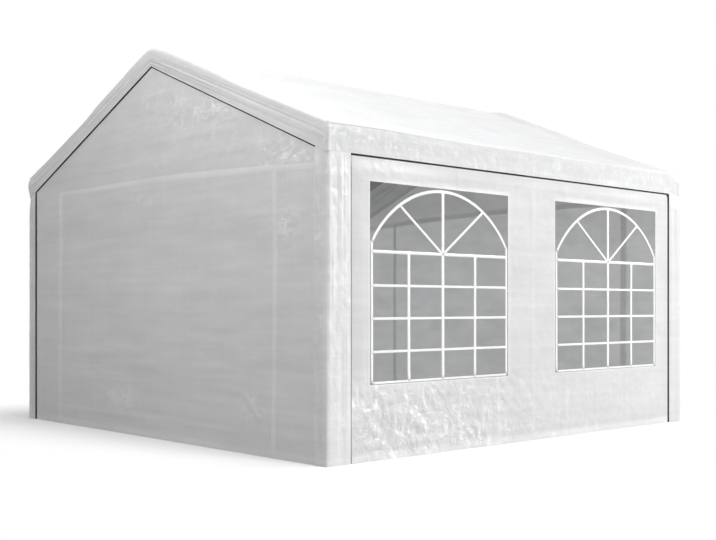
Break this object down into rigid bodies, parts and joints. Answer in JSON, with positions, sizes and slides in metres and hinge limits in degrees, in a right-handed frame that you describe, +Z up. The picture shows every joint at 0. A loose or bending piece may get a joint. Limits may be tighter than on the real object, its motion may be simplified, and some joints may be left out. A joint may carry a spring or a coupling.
{
  "type": "marquee tent",
  "caption": "Party marquee on a square plan: ridge roof over a steel tube frame, arched window walls on the sides, zipped gable doors.",
  "frame": {"origin": "on the ground, at the centre of the plan", "axes": "+X across the gables to the right-hand side wall, +Y along the ridge from the front gable to the rear gable, +Z up"},
  "size_m": [4, 4, 2.8931],
  "materials": {
    "galvanised_steel": "galvanised tube, dull grey",
    "connector_steel": "galvanised, duller than the tubes",
    "roof_fabric": "white coated sheeting",
    "wall_fabric": "white coated sheeting, slightly creased",
    "clear_film": "clear film with a slight haze"
  },
  "bodies": {
    "root": {"post_front_left": "galvanised_steel", "post_front_right": "galvanised_steel", "post_middle_left": "galvanised_steel", "post_middle_right": "galvanised_steel", "post_rear_left": "galvanised_steel", "post_rear_right": "galvanised_steel", "rafter_front_left": "galvanised_steel", "rafter_front_right": "galvanised_steel", "rafter_middle_left": "galvanised_steel", "rafter_middle_right": "galvanised_steel", "rafter_rear_left": "galvanised_steel", "rafter_rear_right": "galvanised_steel", "eave_rail_front_left": "galvanised_steel", "eave_rail_front_right": "galvanised_steel", "eave_rail_rear_left": "galvanised_steel", "eave_rail_rear_right": "galvanised_steel", "ridge_rail_front": "galvanised_steel", "ridge_rail_rear": "galvanised_steel", "eave_connector_front_left": "connector_steel", "eave_connector_front_right": "connector_steel", "eave_connector_middle_left": "connector_steel", "eave_connector_middle_right": "connector_steel", "eave_connector_rear_left": "connector_steel", "eave_connector_rear_right": "connector_steel", "ridge_connector_front": "connector_steel", "ridge_connector_middle": "connector_steel", "ridge_connector_rear": "connector_steel", "roof_cover_left": "roof_fabric", "roof_cover_right": "roof_fabric", "gable_strip_front": "roof_fabric", "gable_strip_rear": "roof_fabric", "side_wall_left": "wall_fabric", "side_wall_right": "wall_fabric", "gable_wall_front": "wall_fabric", "gable_wall_rear": "wall_fabric", "door_front": "wall_fabric", "door_rear": "wall_fabric", "corner_cover_front_left": "wall_fabric", "corner_cover_front_right": "wall_fabric", "corner_cover_rear_left": "wall_fabric", "corner_cover_rear_right": "wall_fabric", "window_front_left": "clear_film", "window_front_right": "clear_film", "window_rear_left": "clear_film", "window_rear_right": "clear_film"}
  },
  "joints": []
}
